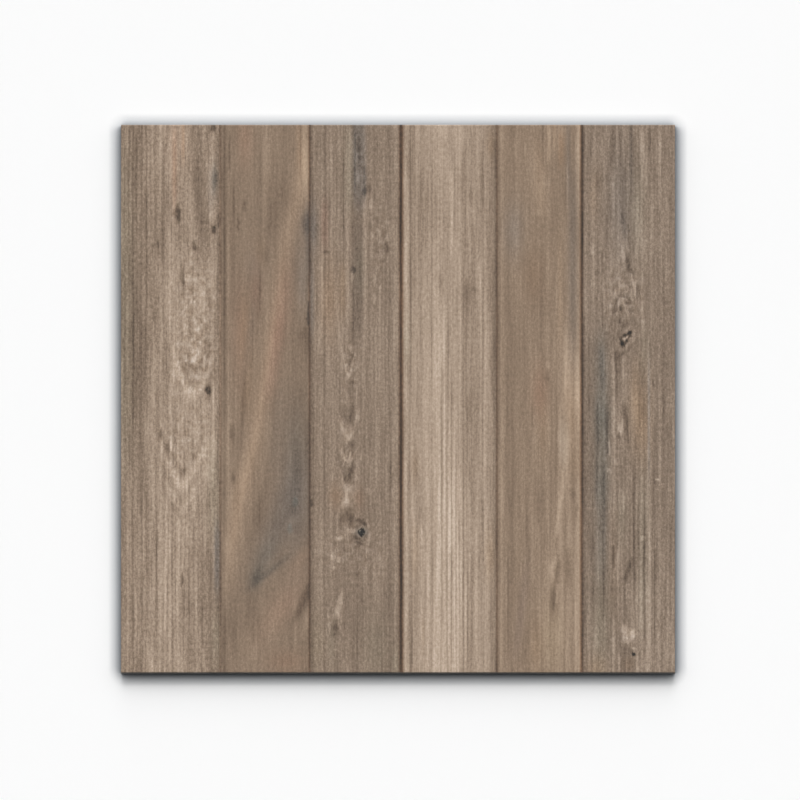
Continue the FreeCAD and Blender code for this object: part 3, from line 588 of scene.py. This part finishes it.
class Tree:
    """A node tree of either kind, with the one way in which nodes are added to it."""

    def __init__(self, tree):
        self.tree = tree

    def node(self, kind, settings=None, sockets=None):
        node = self.tree.nodes.new(kind)
        for name, value in (settings or {}).items():
            if name == "stops":
                self.set_stops(node.color_ramp, value)
            else:
                setattr(node, name, value)
        for name, value in (sockets or {}).items():
            if isinstance(value, Value):
                self.tree.links.new(value.socket, node.inputs[name])
            else:
                node.inputs[name].default_value = value
        return node

    def add(self, kind, settings=None, sockets=None, output=0):
        return Value(self, self.node(kind, settings, sockets).outputs[output])

    @staticmethod
    def set_stops(ramp, stops):
        while len(ramp.elements) < len(stops):
            ramp.elements.new(1.0)
        for element, (place, colour) in zip(ramp.elements, stops):
            element.position = place
            element.color = colour

    def vector(self, x, y, z=0.0):
        return self.add("ShaderNodeCombineXYZ", sockets={"X": x, "Y": y, "Z": z})

    def split(self, vector):
        parts = self.node("ShaderNodeSeparateXYZ", sockets={"Vector": vector})
        return [Value(self, socket) for socket in parts.outputs]

    def vector_math(self, operation, first, second):
        return self.add("ShaderNodeVectorMath", {"operation": operation}, {0: first, 1: second})

    def noise(self, x, y, z, detail, roughness=0.5):
        """Smooth noise about 0, mostly within half a unit each way."""
        sockets = {"Vector": self.vector(x, y, z), "Scale": 1.0, "Detail": detail, "Roughness": roughness}
        return self.add("ShaderNodeTexNoise", {"noise_dimensions": "3D"}, sockets) - 0.5

    def face_noise(self, noise, x, down):
        return self.noise(x * noise.across, down * noise.down, noise.seed, noise.detail, noise.roughness)


def linear(shade):
    """The linear value of an sRGB shade from 0 to 255."""
    share = shade / 255
    return share / 12.92 if share <= 0.04045 else ((share + 0.055) / 1.055) ** 2.4


def colour(red, green, blue):
    return (linear(red), linear(green), linear(blue), 1.0)


# Wood shades from dark to light, against the tone that calls for them.
WOOD_STOPS = [
    (0.00, colour(5, 4, 3)),
    (0.20, colour(56, 46, 36)),
    (0.35, colour(100, 82, 66)),
    (0.50, colour(141, 121, 102)),
    (0.65, colour(182, 161, 141)),
    (0.80, colour(219, 201, 183)),
    (1.00, colour(255, 252, 245)),
]

# Greys of the fired body, from its darkest specks to its palest.
BODY_STOPS = [(0.0, colour(98, 97, 94)), (1.0, colour(164, 162, 158))]


class TileSizes(bpy.types.PropertyGroup):
    """Sizes of the tile's edges, bedding cells and relief."""

    face_bevel: bpy.props.FloatProperty(
        name="Face Bevel", description="Width of the bevel round the face, in millimetres", default=0.6)
    back_bevel: bpy.props.FloatProperty(
        name="Back Bevel", description="Width of the bevel round the back, in millimetres", default=1.0)
    relief: bpy.props.FloatProperty(
        name="Relief", description="Depth of the pressed grain, in millimetres", default=0.18)
    step_across: bpy.props.FloatProperty(
        name="Step Across", description="Spacing of the mesh across the boards, in millimetres", default=1.55)
    step_along: bpy.props.FloatProperty(
        name="Step Along", description="Spacing of the mesh along the boards, in millimetres", default=2.75)
    cells: bpy.props.IntProperty(
        name="Cells", description="Keying cells along each side of the back", default=14)
    cell_pitch: bpy.props.FloatProperty(
        name="Cell Pitch", description="Spacing of the keying cells, in millimetres", default=40.0)
    rib_crest: bpy.props.FloatProperty(
        name="Rib Crest", description="Width of a rib's crest, in millimetres", default=4.0)
    cell_depth: bpy.props.FloatProperty(
        name="Cell Depth", description="Depth of a keying cell, in millimetres", default=0.8)
    flank_run: bpy.props.FloatProperty(
        name="Flank Run", description="Width of a cell's sloping flank, in millimetres", default=0.8)


class StageLook(bpy.types.PropertyGroup):
    """Floor, lights and camera."""

    floor_white: bpy.props.FloatProperty(
        name="Floor White", description="Share of the light that the floor gives back", default=0.97)
    key: bpy.props.FloatProperty(
        name="Key", description="Share of the light that each of the two key lamps gives", default=0.252)
    back: bpy.props.FloatProperty(
        name="Back", description="Share of the light that the lamp at the far side gives", default=0.417)
    # Painted shade on the floor: how far from the tile, and how strongly, its colour is darkened.
    painted_shade_reach: bpy.props.FloatProperty(
        name="Contact Reach", description="How far from the tile the floor darkens", subtype="DISTANCE",
        unit="LENGTH", default=0.0144)
    painted_shade_depth: bpy.props.FloatProperty(
        name="Contact Depth", description="How strongly the floor darkens beside the tile", default=1.80)
    fill: bpy.props.FloatProperty(
        name="Fill", description="Share of the light that the fill lamp gives", default=0.015)
    sky: bpy.props.FloatProperty(
        name="Sky", description="Share of the light that comes evenly from all round", default=0.064)
    tilt: bpy.props.FloatProperty(
        name="Tilt", description="Lean of the camera from straight down", subtype="ANGLE",
        default=math.radians(8.6))
    view_width: bpy.props.FloatProperty(
        name="View Width", description="Width that the camera takes in", subtype="DISTANCE", unit="LENGTH",
        default=0.8621)
    aim: bpy.props.FloatVectorProperty(
        name="Aim", description="Point that the camera looks at", subtype="TRANSLATION", size=3,
        default=(0.00215, -0.0015, 0.0095))


def even_steps(stops, step):
    """The stops and, between each two, points as evenly spaced as the step allows."""
    places = []
    for start, end in zip(stops, stops[1:]):
        count = max(1, round((end - start) / step))
        places += [start + (end - start) * index / count for index in range(count)]
    return places + [stops[-1]]


def stations_across(sizes):
    """Places of the mesh lines that run along the boards, with each joint's profile among them."""
    half = TILE_WIDTH / 2 - sizes.face_bevel
    fixed = [-half]
    for edge, joint in zip(EDGES[1:], JOINTS):
        mouth, flank, floor = joint.width / 2, (joint.width + JOINT_FLOOR) / 4, JOINT_FLOOR / 2
        fixed += [edge + off for off in (-mouth, -flank, -floor, floor, flank, mouth)]
    return even_steps(fixed + [half], sizes.step_across)


def joint_drop(x):
    """How far the face lies below its plane at a place across the tile, because of a joint's channel."""
    drop = 0.0
    for edge, joint in zip(EDGES[1:], JOINTS):
        flank = (joint.width - JOINT_FLOOR) / 2
        drop = max(drop, min(1.0, (joint.width / 2 - abs(x - edge)) / flank) * joint.depth)
    return drop


def ring_of(rows, columns):
    """The vertex places round the rim of a grid, as (column, row) pairs, anticlockwise from above."""
    last_column, last_row = columns - 1, rows - 1
    near = [(column, 0) for column in range(last_column)]
    right = [(last_column, row) for row in range(last_row)]
    far = [(column, last_row) for column in range(last_column, 0, -1)]
    left = [(0, row) for row in range(last_row, 0, -1)]
    return near + right + far + left


def grid_faces(rows, columns):
    """The squares between the vertices of a grid, each as the places of its corners, anticlockwise."""
    corners = [row * columns + column for row in range(rows - 1) for column in range(columns - 1)]
    return [(corner, corner + 1, corner + columns + 1, corner + columns) for corner in corners]


def blank_mesh(sizes):
    """The tile before its relief and its cells are pressed, as one closed mesh."""
    across = stations_across(sizes)
    half_width = TILE_WIDTH / 2 - sizes.face_bevel
    half_length = TILE_LENGTH / 2 - sizes.face_bevel
    along = even_steps([-half_length, half_length], sizes.step_along)
    columns, rows = len(across), len(along)
    places = [(x, y, TILE_THICKNESS - joint_drop(x)) for y in along for x in across]
    faces = grid_faces(rows, columns)
    rim = ring_of(rows, columns)
    upper = [row * columns + column for column, row in rim]
    # Each lower ring: how far inside the outline it lies, and at what height.
    levels = [(0.0, TILE_THICKNESS - sizes.face_bevel), (0.0, sizes.back_bevel), (sizes.back_bevel, 0.0)]
    for inset, level in levels:
        ring = []
        for column, row in rim:
            x = stretched(across[column], half_width, TILE_WIDTH / 2 - inset)
            y = stretched(along[row], half_length, TILE_LENGTH / 2 - inset)
            ring.append(len(places))
            places.append((x, y, min(level, TILE_THICKNESS - joint_drop(x))))
        for index, corner in enumerate(ring):
            following = (index + 1) % len(ring)
            faces.append((upper[following], upper[index], corner, ring[following]))
        upper = ring
    faces += back_faces(sizes, places, upper, columns, rows)
    mesh = bpy.data.meshes.new(NODE)
    mesh.from_pydata([(x * MM, y * MM, z * MM) for x, y, z in places], [], faces)
    mesh.validate()
    return mesh


def stretched(place, limit, new_limit):
    """Moves a place that lies at the rim of the face out to another outline."""
    return math.copysign(new_limit, place) if math.isclose(abs(place), limit, abs_tol=SAME) else place


def back_faces(sizes, places, rim, columns, rows):
    """The border and the square cells of the back, still flat."""
    count = sizes.cells
    stride = count + 1
    first = len(places)
    field = [index * sizes.cell_pitch - count * sizes.cell_pitch / 2 for index in range(stride)]
    places += [(x, y, 0.0) for y in field for x in field]
    # The back looks down, so its squares turn the other way.
    faces = [tuple(first + corner for corner in (square[0], *square[:0:-1]))
             for square in grid_faces(stride, stride)]
    inner = [first + row * stride + column for column, row in ring_of(stride, stride)]
    start = inner_start = 0
    for side in (columns - 1, rows - 1, columns - 1, rows - 1):
        border = [rim[(start + index) % len(rim)] for index in range(side + 1)]
        edge = [inner[(inner_start + index) % len(inner)] for index in range(stride)]
        faces.append(tuple(edge + border[::-1]))
        start += side
        inner_start += count
    return faces


def face_coordinates(tree, position):
    """X from the tile's centre, down from its far edge and height, in millimetres."""
    x, y, z = tree.split(position)
    return x / MM, FAR_EDGE - y / MM, z / MM


def growth_of(tree, x, down):
    """The grain's own coordinate across the tile, in millimetres, which bends where the grain bends."""
    bend = tree.face_noise(BEND, x, down) * GRAIN_BEND
    # The boards are cut straight, so the grain's bend dies away at the joints.
    for edge in EDGES[1:-1]:
        bend = bend - bend * x.hump(edge, BEND_DIES)
    growth = x + bend
    for left, board in zip(EDGES, BOARDS):
        for knot in board.knots:
            centre = left + knot.across
            pull = Stain(centre, knot.down, knot.half_width * KNOT_PULL, knot.half_length * KNOT_PULL)
            growth = growth - (x - centre) * oval(x, down, pull) * knot.swerve
    return growth


def reach_of(x, down, spot):
    """How far a point lies from the middle of a leaning oval: 0 there, and 1 at its half widths, squared."""
    width = spot.half_width
    off = down.scaled(-spot.lean / width, (spot.lean * spot.down - spot.across) / width)
    off = x.scaled(1 / width, off)
    far = down.scaled(1 / spot.half_length, -spot.down / spot.half_length)
    far = far * far
    if spot.half_length > ENDS_SUDDENLY * width:
        far = far * far
    return off.scaled(off, far)


def oval(x, down, spot):
    """A leaning oval of height 1, soft or with a clear edge."""
    reach = reach_of(x, down, spot)
    if spot.sharp:
        reach = reach * reach
    return (-reach).exp()


def add_effects(totals, shape, effects):
    """Adds a shape's effects to the running totals, which start out as None."""
    for index, effect in enumerate(effects):
        if effect and totals[index] is None:
            totals[index] = shape * effect
        elif effect:
            totals[index] = shape.scaled(effect, totals[index])


def moved(spot, left):
    """A feature of a board, placed on the whole face."""
    return spot._replace(across=spot.across + left)


def is_fine(stain):
    return min(stain.half_width, stain.half_length) < FINEST_ON_MESH


def effects_of(feature):
    """What a stain or a vein adds to the print."""
    return (feature.tone, feature.warmth, feature.redness)


def vein_shape(growth, down, vein):
    """A soft band of height 1 that follows the vein's curve down the board."""
    centre = np.interp(down, *zip(*vein.places))
    strength = np.interp(down, *zip(*vein.strengths))
    off = (growth - centre) / vein.half_width
    return np.exp(-off * off) * strength


def lay_stains(mesh):
    """Keeps on the mesh what is broad enough for it, for the prints to read back.

    The stains and veins are kept as tone, warmth and redness, and the combs and mottles as strengths.
    """
    count = len(mesh.vertices)
    places = np.empty(count * 3, np.float32)
    mesh.vertices.foreach_get("co", places)
    x, y, _ = places.reshape(count, 3).T / MM
    grown = np.empty(count, np.float32)
    mesh.attributes[GROWTH].data.foreach_get("value", grown)
    stains, textures = np.zeros((count, 3)), np.zeros((count, 3))
    for left, board in zip(EDGES, BOARDS):
        own = np.flatnonzero((x > left) & (x < left + board.width))
        across = (x[own] - left).view(Points)
        growth = (grown[own] - left).view(Points)
        down = (FAR_EDGE - y[own]).view(Points)
        for stain in board.stains:
            if not is_fine(stain):
                stains[own] += np.outer(oval(growth, down, stain), effects_of(stain))
        for vein in board.veins:
            stains[own] += np.outer(vein_shape(growth, down, vein), effects_of(vein))
        for index, patches in enumerate((board.combs, board.mottles)):
            for patch in patches:
                textures[own, index] += oval(across, down, Stain(*patch[:-1])) * patch.strength
    for name, values in ((STAIN, stains), (TEXTURE, textures)):
        attribute = mesh.attributes.new(name, "FLOAT_VECTOR", "POINT")
        attribute.data.foreach_set("vector", values.astype(np.float32).ravel())


# What the geometry tree is given, and the setting that each input takes.
PRESS_INPUTS = {"Relief": "relief", "Cell Depth": "cell_depth", "Rib Crest": "rib_crest",
                "Cell Pitch": "cell_pitch", "Flank Run": "flank_run"}


def press_tree(sizes):
    """The geometry tree that presses the grain and the bedding cells, and hands the grain on to the print."""
    group = bpy.data.node_groups.new("press_tile", "GeometryNodeTree")
    group.interface.new_socket(name="Blank", in_out="INPUT", socket_type="NodeSocketGeometry")
    for name in PRESS_INPUTS:
        group.interface.new_socket(name=name, in_out="INPUT", socket_type="NodeSocketFloat")
    group.interface.new_socket(name="Tile", in_out="OUTPUT", socket_type="NodeSocketGeometry")
    tree = Tree(group)
    given = tree.node("NodeGroupInput")
    blank, relief, cell_depth, rib_crest, cell_pitch, flank_run = [
        Value(tree, given.outputs[name]) for name in ("Blank", *PRESS_INPUTS)]
    x, down, height = face_coordinates(tree, tree.add("GeometryNodeInputPosition"))
    growth = growth_of(tree, x, down)
    stored = tree.add("GeometryNodeStoreNamedAttribute", {"data_type": "FLOAT", "domain": "POINT"},
                      {"Geometry": blank, "Name": GROWTH, "Value": growth})
    lines, fibres = (tree.face_noise(noise, growth, down) for noise in (LINES, FIBRES))
    on_face = height > TILE_THICKNESS - sizes.face_bevel / 2 - max(joint.depth for joint in JOINTS)
    hollow = (HOLLOW - lines * HOLLOW_LINES - fibres * HOLLOW_FIBRES).most(0.0).least(1.0)
    pressed = tree.add("GeometryNodeSetPosition", sockets={
        "Geometry": stored, "Selection": on_face, "Offset": tree.vector(0.0, 0.0, hollow * relief * -MM)})
    # Only the faces of the field are as large as a cell, so their area tells them apart.
    area = tree.add("GeometryNodeInputMeshFaceArea")
    pitch = cell_pitch * MM
    is_cell = (area > pitch * pitch * (1 - AREA_SLACK)) * (area < pitch * pitch * (1 + AREA_SLACK))
    mouth = (cell_pitch - rib_crest) / cell_pitch
    floor_share = (cell_pitch - rib_crest - flank_run * 2.0) / (cell_pitch - rib_crest)
    framed, cells = extruded(tree, pressed, is_cell, 0.0)
    framed = shrunk(tree, framed, cells, mouth)
    sunk, floors = extruded(tree, framed, cells, cell_depth * -MM)
    sunk = shrunk(tree, sunk, floors, floor_share)
    shape = tree.add("GeometryNodeRealizeInstances", sockets={"Geometry": sunk})
    for material, selection in tile_materials(tree):
        sockets = {"Geometry": shape, "Material": material, "Selection": selection}
        shape = tree.add("GeometryNodeSetMaterial", sockets=sockets)
    tree.node("NodeGroupOutput", sockets={"Tile": shape})
    return group


def extruded(tree, shape, selection, distance):
    """Raises each chosen face by itself. Gives the new shape and the faces at its top."""
    node = tree.node("GeometryNodeExtrudeMesh", {"mode": "FACES"}, {
        "Mesh": shape, "Selection": selection, "Offset Scale": distance, "Individual": True})
    return Value(tree, node.outputs["Mesh"]), Value(tree, node.outputs["Top"])


def shrunk(tree, shape, selection, share):
    """Shrinks each chosen face about its own centre."""
    return tree.add("GeometryNodeScaleElements", {"domain": "FACE"}, {
        "Geometry": shape, "Selection": selection, "Scale": share})


def new_material(name):
    material = bpy.data.materials.new(name)
    material.use_nodes = True
    material.node_tree.nodes.clear()
    return material, Tree(material.node_tree)


def finish_material(tree, base, roughness, bump):
    normal = tree.add("ShaderNodeBump", sockets={"Height": bump, "Distance": BUMP_DISTANCE, "Strength": 1.0})
    shader = tree.add("ShaderNodeBsdfPrincipled", sockets={
        "Base Color": base, "Roughness": roughness, "Normal": normal})
    tree.node("ShaderNodeOutputMaterial", sockets={"Surface": shader})


def tinted(tree, base, warmth, redness):
    """Shifts a colour towards tan or blue-grey by warmth, and towards pink by redness."""
    warm = tree.vector(*(warmth * share for share in WARM_TINT))
    red = tree.vector(*(redness * share for share in RED_TINT))
    shift = tree.vector_math("ADD", warm, red)
    return tree.vector_math("MULTIPLY", base, tree.vector_math("ADD", shift, (1.0, 1.0, 1.0)))


def band_tone(tree, growth, board, left):
    """The slow change of tone across a board, as a ramp of greys about the middle."""
    stops = []
    for across, change in board.bands:
        grey = 0.5 + change
        stops.append((across / board.width, (grey, grey, grey, 1.0)))
    ramp = tree.add("ShaderNodeValToRGB", {"stops": stops}, {"Fac": (growth - left) / board.width})
    return ramp - 0.5


def ring_lines(growth, down, spacing, wobble):
    """Thin dark growth lines, from 0 between them to 1 on them."""
    turn = growth.scaled(2 * math.pi / spacing, wobble)
    return (turn.cosine() * 0.5 + 0.5) ** RING_POWER


def flame_shape(growth, down, flame):
    """A V or U shaped line of height 1."""
    off = abs(growth - flame.across) / flame.half_width
    line = (off ** flame.power).scaled(flame.reach / flame.thickness, (down - flame.down) / flame.thickness)
    wide = off * off
    return (-(line * line + wide * wide)).exp()


def knot_tone(growth, down, knot):
    """The tone that a knot adds: a dark rim, its core and faint rings."""
    reach = reach_of(growth, down, knot).sqrt()
    rim = reach.hump(1.0, RIM_FADE) * knot.rim
    core = reach.hump(0.0, CORE_FADE) * knot.core
    rings = (reach * RINGS_TURN + RINGS_PHASE).cosine() * reach.hump(RINGS_AT, RINGS_FADE) * knot.rings
    return rim + core + rings


def fine_features(growth, down, straight, board, left):
    """The stains too fine for the mesh, the flames and the knots of one board: tone, warmth and redness."""
    totals = [None, None, None]
    for stain in filter(is_fine, board.stains):
        across = straight if stain.half_length > RUNS_STRAIGHT * stain.half_width else growth
        add_effects(totals, oval(across, down, moved(stain, left)), effects_of(stain))
    for flame in board.flames:
        add_effects(totals, flame_shape(growth, down, moved(flame, left)), (flame.tone,))
    for knot in board.knots:
        add_effects(totals, knot_tone(growth, down, moved(knot, left)), (1.0,))
    return [total or 0.0 for total in totals]


def board_material(number):
    """The print of one board."""
    board = BOARDS[number]
    left = EDGES[number]
    material, tree = new_material(f"board_{number + 1}_print")
    x, down, _ = face_coordinates(tree, tree.add("ShaderNodeTexCoord", output="Object"))
    growth = tree.add("ShaderNodeAttribute", {"attribute_name": GROWTH}, output="Fac")
    kept = [tree.split(tree.add("ShaderNodeAttribute", {"attribute_name": name}, output="Vector"))
            for name in (STAIN, TEXTURE)]
    (broad_tone, broad_warmth, broad_redness), (combed, mottled, _) = kept
    lines, fibres = (tree.face_noise(noise, growth, down) for noise in (LINES, FIBRES))
    grit = tree.face_noise(GRIT, x, down)
    # Ragged edges: fine features are read at a place that a noise pushes aside.
    ragged = tree.face_noise(RAGGED, x, down)
    ragged_down = tree.face_noise(RAGGED._replace(seed=47.0), x, down)
    fine_tone, fine_warmth, fine_redness = fine_features(
        x + ragged * RAGGED_ACROSS, down + ragged_down * RAGGED_DOWN, x + ragged * RAGGED_LONG, board, left)
    wobble = tree.face_noise(WOBBLE, growth, down) * RING_WOBBLE
    rings = ring_lines(growth, down, board.ring_spacing, wobble) * (combed + board.rings) * RING_TONE
    mottle = tree.face_noise(MOTTLE, x, down) * mottled
    tone = (band_tone(tree, growth, board, left) + board.tone + broad_tone + fine_tone
            + lines * (LINE_TONE * board.lines) + fibres * (FIBRE_TONE * board.fibres)
            + grit * (GRIT_TONE * board.grit) - rings + mottle * MOTTLE_TONE)
    warmth = broad_warmth + fine_warmth - mottle * MOTTLE_COOLING + board.warmth
    redness = broad_redness + fine_redness
    for edge, joint in zip(EDGES[1:], JOINTS):
        if edge in (left, EDGES[number + 1]):
            shade = x.hump(edge + joint.aside, joint.shade) * joint.darkness
            tone = tone - shade
            warmth = warmth + shade * JOINT_WARMTH
            redness = redness + shade * JOINT_REDNESS
    base = tree.add("ShaderNodeValToRGB", {"stops": WOOD_STOPS}, {"Fac": tone})
    finish_material(tree, tinted(tree, base, warmth, redness), GLAZE_ROUGHNESS - lines * LINE_POLISH,
                    bump=fibres + grit)
    return material


def body_material():
    """The fired body, as the sawn sides and the back show it."""
    material, tree = new_material("fired_body")
    place = tree.split(tree.add("ShaderNodeTexCoord", output="Object"))
    cloud = tree.noise(*(value * CLOUD_SCALE for value in place), CLOUD_DETAIL)
    speck = tree.noise(*(value * SPECK_SCALE for value in place), SPECK_DETAIL)
    tone = 0.5 + cloud * CLOUD_TONE + speck * SPECK_TONE
    base = tree.add("ShaderNodeValToRGB", {"stops": BODY_STOPS}, {"Fac": tone})
    finish_material(tree, base, BODY_ROUGHNESS + speck * SPECK_ROUGHNESS, bump=speck)
    return material


def tile_materials(tree):
    """Each material with the faces that it covers, the body first and the boards over it."""
    x, _, height = face_coordinates(tree, tree.add("GeometryNodeInputPosition"))
    on_face = height > TILE_THICKNESS - FACE_DEPTH
    yield body_material(), True
    for number in range(len(BOARDS)):
        within = (x > EDGES[number] - EDGE_SLACK) * (x < EDGES[number + 1] + EDGE_SLACK)
        yield board_material(number), within * on_face


def lay_out_map(mesh):
    """Lays out the map: the face takes most of it, and the back and the sides the rest."""
    uv = mesh.uv_layers.new(name="OFBake").uv
    strip = 1 - FACE_SHARE - 4 * MARGIN
    for polygon in mesh.polygons:
        normal = polygon.normal
        on_face = polygon.center.z > (TILE_THICKNESS - FACE_DEPTH) * MM
        for loop in polygon.loop_indices:
            x, y, z = mesh.vertices[mesh.loops[loop].vertex_index].co / MM
            u, v, w = x / TILE_WIDTH + 0.5, y / TILE_LENGTH + 0.5, z / TILE_THICKNESS
            if on_face and normal.z > LEVEL:
                place = (MARGIN + u * FACE_SHARE, MARGIN + v * FACE_SHARE)
            elif abs(normal.z) < LEVEL:
                place = side_place(normal, u, v, w)
            else:
                place = (1 - MARGIN - strip * (1 - u), 1 - MARGIN - strip * (1 - v))
            uv[loop].vector = place


def side_place(normal, u, v, w):
    """Places the four sawn sides in thin strips above and beside the face."""
    faces_y = abs(normal.y) > abs(normal.x)
    facing = normal.y if faces_y else normal.x
    start = FACE_SHARE + 3 * MARGIN + (STRIP_HEIGHT + MARGIN) * (facing > 0)
    off = start + w * STRIP_HEIGHT
    return (MARGIN + u * FACE_SHARE, off) if faces_y else (off, MARGIN + v * FACE_SHARE)


class WOODTILE_OT_tile(bpy.types.Operator):
    """Makes the tile: its blank, its pressed grain and cells, its print and its place on the frame"""

    bl_idname = "woodtile.tile"
    bl_label = "Make the Tile"

    def execute(self, context):
        sizes = context.scene.wood_tile_sizes
        blank = bpy.data.objects.new("tile_blank", blank_mesh(sizes))
        context.scene.collection.objects.link(blank)
        group = press_tree(sizes)
        modifier = blank.modifiers.new("press", "NODES")
        modifier.node_group = group
        for item in group.interface.items_tree:
            if item.name in PRESS_INPUTS:
                modifier[item.identifier] = getattr(sizes, PRESS_INPUTS[item.name])
        context.view_layer.update()
        depsgraph = context.evaluated_depsgraph_get()
        mesh = bpy.data.meshes.new_from_object(blank.evaluated_get(depsgraph))
        blank.modifiers.remove(modifier)
        bpy.data.objects.remove(blank)
        lay_stains(mesh)
        lay_out_map(mesh)
        tile = bpy.data.objects.new("tile", mesh)
        context.scene.collection.objects.link(tile)
        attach(tile, BODY)
        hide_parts(NODE)
        return {"FINISHED"}


def add_sun(name, share, azimuth, elevation, spread):
    """A lamp far off, whose share of the light is what it gives a level floor.

    Azimuth is measured clockwise from +Y as seen from above, and spread is how wide the lamp looks.
    """
    light = bpy.data.lights.new(name, "SUN")
    light.energy = share * math.pi / math.sin(math.radians(elevation))
    light.angle = math.radians(spread)
    lamp = bpy.data.objects.new(name, light)
    lamp.rotation_euler = (math.radians(90 - elevation), 0.0, math.radians(180 - azimuth))
    bpy.context.scene.collection.objects.link(lamp)


def make_floor(look):
    """The pale floor, with painted shade: its colour darkens close to the tile, where an ambient occlusion node
    finds it.
    """
    corners = [(-FLOOR_REACH, -FLOOR_REACH, 0.0), (FLOOR_REACH, -FLOOR_REACH, 0.0),
               (FLOOR_REACH, FLOOR_REACH, 0.0), (-FLOOR_REACH, FLOOR_REACH, 0.0)]
    mesh = bpy.data.meshes.new("floor")
    mesh.from_pydata(corners, [], [(0, 1, 2, 3)])
    floor = bpy.data.objects.new("floor", mesh)
    bpy.context.scene.collection.objects.link(floor)
    material, tree = new_material("floor_with_painted_shade")
    # Painted shade: the floor's own colour is darkened by ambient occlusion beside the tile, on top of the
    # shadow that the lamps cast.
    near = tree.add("ShaderNodeAmbientOcclusion", sockets={"Distance": look.painted_shade_reach}, output="AO")
    shades = [near ** (look.painted_shade_depth + lean) * look.floor_white for lean in PAINTED_SHADE_LEAN]
    white = tree.add("ShaderNodeCombineColor", sockets=dict(enumerate(shades)))
    diffuse = tree.add("ShaderNodeBsdfDiffuse", sockets={"Color": white})
    tree.node("ShaderNodeOutputMaterial", sockets={"Surface": diffuse})
    mesh.materials.append(material)


def make_sky(look):
    """An even light from all round, which the camera sees as white."""
    world = bpy.data.worlds.new("sky")
    bpy.context.scene.world = world
    world.use_nodes = True
    world.node_tree.nodes.clear()
    tree = Tree(world.node_tree)
    seen = tree.add("ShaderNodeLightPath", output="Is Camera Ray")
    background = tree.add("ShaderNodeBackground", sockets={
        "Color": (1.0, 1.0, 1.0, 1.0), "Strength": seen * (1.0 - look.sky) + look.sky})
    tree.node("ShaderNodeOutputWorld", sockets={"Surface": background})


def make_camera(look):
    """The camera of the photograph, which leans back a little from straight down."""
    data = bpy.data.cameras.new("camera")
    data.type = "ORTHO"
    data.ortho_scale = look.view_width
    camera = bpy.data.objects.new("camera", data)
    camera.location = (
        look.aim[0],
        look.aim[1] - math.sin(look.tilt) * CAMERA_DISTANCE,
        look.aim[2] + math.cos(look.tilt) * CAMERA_DISTANCE,
    )
    camera.rotation_euler = (look.tilt, 0.0, 0.0)
    bpy.context.scene.collection.objects.link(camera)
    bpy.context.scene.camera = camera


class WOODTILE_OT_stage(bpy.types.Operator):
    """Makes the floor, the lamps, the sky and the camera"""

    bl_idname = "woodtile.stage"
    bl_label = "Make the Stage"

    def execute(self, context):
        look = context.scene.wood_tile_stage
        make_floor(look)
        for name, setting, azimuth, elevation, spread in LAMPS:
            add_sun(name, getattr(look, setting), azimuth, elevation, spread)
        make_sky(look)
        make_camera(look)
        context.scene.view_settings.view_transform = "Standard"
        return {"FINISHED"}


class WOODTILE_PT_panel(bpy.types.Panel):
    """Lists the steps and the values"""

    bl_label = "Wood Look Tile"
    bl_idname = "WOODTILE_PT_panel"
    bl_space_type = "VIEW_3D"
    bl_region_type = "UI"
    bl_category = "Wood Look Tile"

    def draw(self, context):
        for settings in (context.scene.wood_tile_sizes, context.scene.wood_tile_stage):
            box = self.layout.box()
            for name in settings.__annotations__:
                box.prop(settings, name)
        for operator in (WOODTILE_OT_tile, WOODTILE_OT_stage):
            self.layout.operator(operator.bl_idname)


CLASSES = (TileSizes, StageLook, WOODTILE_OT_tile, WOODTILE_OT_stage, WOODTILE_PT_panel)


def register():
    for cls in CLASSES:
        bpy.utils.register_class(cls)
    bpy.types.Scene.wood_tile_sizes = bpy.props.PointerProperty(type=TileSizes)
    bpy.types.Scene.wood_tile_stage = bpy.props.PointerProperty(type=StageLook)


def unregister():
    del bpy.types.Scene.wood_tile_stage
    del bpy.types.Scene.wood_tile_sizes
    for cls in reversed(CLASSES):
        bpy.utils.unregister_class(cls)


def main():
    register()
    bpy.ops.woodtile.tile()
    bpy.ops.woodtile.stage()


if __name__ == "__main__":
    main()
